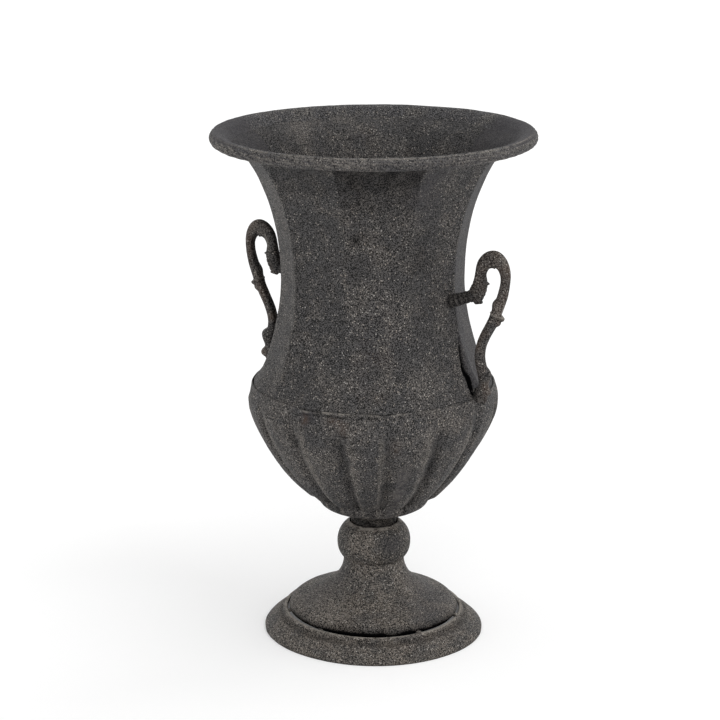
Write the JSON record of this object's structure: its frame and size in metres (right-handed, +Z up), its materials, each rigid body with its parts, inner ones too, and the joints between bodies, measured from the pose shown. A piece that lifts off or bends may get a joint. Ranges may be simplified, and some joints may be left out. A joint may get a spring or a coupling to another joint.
{
  "type": "garden urn",
  "caption": "Free-standing iron garden urn with a flared faceted neck, rope rim, lobed bowl, scroll handles, knop and stepped round foot.",
  "frame": {"origin": "on the floor, in the middle of the base ring", "axes": "+Z up along the urn's axis; +X through the right-hand handle, -X through the left-hand one; +Y is the side away from the picture's camera"},
  "size_m": [0.35, 0.3494, 0.5625],
  "materials": {
    "neck_iron": "satin, speckled sandy oxide",
    "rope_iron": "satin, rubbed on the strands",
    "bowl_iron": "satin, speckled sandy oxide",
    "foot_iron": "satin, speckled sandy oxide",
    "handle_iron": "dull, browner oxide",
    "zinc_steel": "dull zinc"
  },
  "bodies": {
    "root": {"neck_shell": "neck_iron", "rim_rope": "rope_iron", "bowl_shell": "bowl_iron", "bowl_collar": "foot_iron", "knop": "foot_iron", "bell_foot": "foot_iron", "base_ring": "foot_iron", "bell_tacks": "foot_iron", "handle_right": "handle_iron", "handle_left": "handle_iron", "handle_pegs": "handle_iron", "peg_screws": "zinc_steel", "peg_washers": "zinc_steel", "foot_screws": "zinc_steel", "foot_washers": "zinc_steel", "tie_rod": "zinc_steel", "bowl_washer": "zinc_steel", "bowl_nut": "zinc_steel", "bell_washer": "zinc_steel", "bell_nut": "zinc_steel"}
  },
  "joints": []
}
